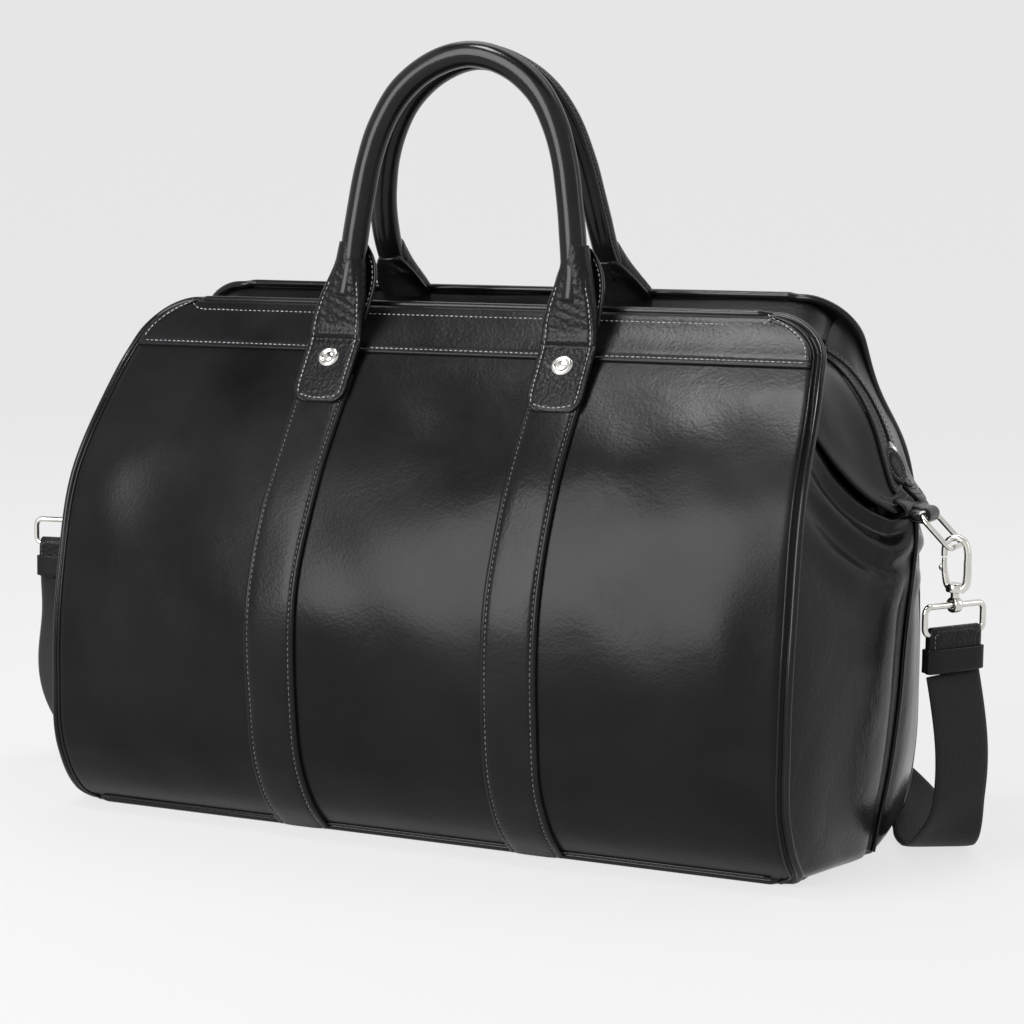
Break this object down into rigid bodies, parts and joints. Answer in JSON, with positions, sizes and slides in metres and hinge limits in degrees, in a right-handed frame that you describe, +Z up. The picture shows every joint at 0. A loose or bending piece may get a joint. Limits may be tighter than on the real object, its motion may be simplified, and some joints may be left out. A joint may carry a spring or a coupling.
{
  "type": "doctor bag",
  "caption": "Black leather doctor bag with a hinged frame mouth, top zip, two rolled handles and a clip-on webbing shoulder strap.",
  "frame": {"origin": "on the floor under the middle of the bag", "axes": "+X along the bag to its right end, -Y towards the front panel, +Z up"},
  "size_m": [0.607, 0.2948, 0.4366],
  "materials": {
    "leather": "glossy",
    "strap_leather": "satin",
    "handle_leather": "glossy",
    "webbing": "matte",
    "lining_cloth": "matte",
    "zip_cloth": "matte",
    "rope": "matte",
    "nickel": "polished",
    "stay_steel": "satin",
    "zip_metal": "satin",
    "board": "matte"
  },
  "bodies": {
    "bag": {"base_panel": "leather", "base_board": "board", "lining": "lining_cloth", "gusset_left": "leather", "gusset_right": "leather", "front_panel_lower": "leather", "front_straps": "strap_leather", "front_piping_lower": "leather", "back_panel_lower": "leather", "back_straps": "strap_leather", "back_piping_lower": "leather", "frame_pivots": "stay_steel", "ear_tabs": "leather", "ring_loops": "strap_leather", "strap_webbing": "webbing", "strap_adjuster": "nickel", "strap_keepers": "strap_leather", "strap_end_right": "strap_leather", "strap_ring_right": "nickel", "hook_swivel_right": "nickel", "strap_end_left": "strap_leather", "strap_ring_left": "nickel", "hook_swivel_left": "nickel"},
    "front_frame": {"front_panel_upper": "leather", "front_yoke": "leather", "front_piping_upper": "leather", "front_facing": "leather", "front_ear_left": "leather", "front_ear_right": "leather", "front_zip_tape": "zip_cloth", "front_zip_teeth": "zip_metal", "front_stay": "stay_steel", "front_chapes": "handle_leather", "front_rivets": "nickel"},
    "back_frame": {"back_panel_upper": "leather", "back_yoke": "leather", "back_piping_upper": "leather", "back_facing": "leather", "back_ear_left": "leather", "back_ear_right": "leather", "back_zip_tape": "zip_cloth", "back_zip_teeth": "zip_metal", "back_stay": "stay_steel", "back_chapes": "handle_leather", "back_rivets": "nickel"},
    "front_handle": {"front_handle_skin": "handle_leather", "front_handle_core": "rope", "front_handle_flares": "handle_leather"},
    "back_handle": {"back_handle_skin": "handle_leather", "back_handle_core": "rope", "back_handle_flares": "handle_leather"},
    "zip_slider": {"zip_slider": "zip_metal"},
    "zip_pull": {"zip_pull": "strap_leather"},
    "ring_right": {"oval_ring_right": "nickel"},
    "hook_right": {"snap_hook_right": "nickel"},
    "gate_right": {"hook_gate_right": "nickel"},
    "ring_left": {"oval_ring_left": "nickel"},
    "hook_left": {"snap_hook_left": "nickel"},
    "gate_left": {"hook_gate_left": "nickel"}
  },
  "joints": [
    {"name": "front_frame_hinge", "type": "hinge", "parent": "bag", "child": "front_frame", "pos_m": [0, 0, 0.212], "axis": [1, 0, 0], "range_deg": [0, 50]},
    {"name": "back_frame_hinge", "type": "hinge", "parent": "bag", "child": "back_frame", "pos_m": [0, 0, 0.212], "axis": [-1, 0, 0], "range_deg": [0, 50]},
    {"name": "front_handle_hinge", "type": "hinge", "parent": "front_frame", "child": "front_handle", "pos_m": [0, -0.053, 0.274], "axis": [-1, 0, 0], "range_deg": [-105, 0]},
    {"name": "back_handle_hinge", "type": "hinge", "parent": "back_frame", "child": "back_handle", "pos_m": [0, 0.056, 0.276], "axis": [1, 0, 0], "range_deg": [-150, 0]},
    {"name": "zip_slide", "type": "slide", "parent": "front_frame", "child": "zip_slider", "axis": [1, 0, 0], "range_m": [0, 0.368]},
    {"name": "zip_pull_hinge", "type": "hinge", "parent": "zip_slider", "child": "zip_pull", "pos_m": [-0.184, 0, 0.2749], "axis": [0, -1, 0], "range_deg": [0, 165]},
    {"name": "ring_right_swing", "type": "hinge", "parent": "bag", "child": "ring_right", "pos_m": [0.256, 0, 0.187], "axis": [0, 1, 0], "range_deg": [-3, 3]},
    {"name": "hook_right_swivel", "type": "hinge", "parent": "bag", "child": "hook_right", "pos_m": [0.27226, 0, 0.13974], "axis": [0, 0, 1], "range_deg": [-12, 12]},
    {"name": "gate_right_hinge", "type": "hinge", "parent": "hook_right", "child": "gate_right", "pos_m": [0.26601, 0, 0.14914], "axis": [0, 1, 0], "range_deg": [0, 18], "stiffness_Nm_per_rad": 0.02, "springref_deg": -17.19},
    {"name": "ring_left_swing", "type": "hinge", "parent": "bag", "child": "ring_left", "pos_m": [-0.256, 0, 0.187], "axis": [0, 1, 0], "range_deg": [-3, 3]},
    {"name": "hook_left_swivel", "type": "hinge", "parent": "bag", "child": "hook_left", "pos_m": [-0.2912, 0, 0.15127], "axis": [0.4384, 0, 0.8988], "range_deg": [-12, 12]},
    {"name": "gate_left_hinge", "type": "hinge", "parent": "hook_left", "child": "gate_left", "pos_m": [-0.2927, 0, 0.16246], "axis": [0, 1, 0], "range_deg": [0, 18], "stiffness_Nm_per_rad": 0.02, "springref_deg": -17.19}
  ]
}
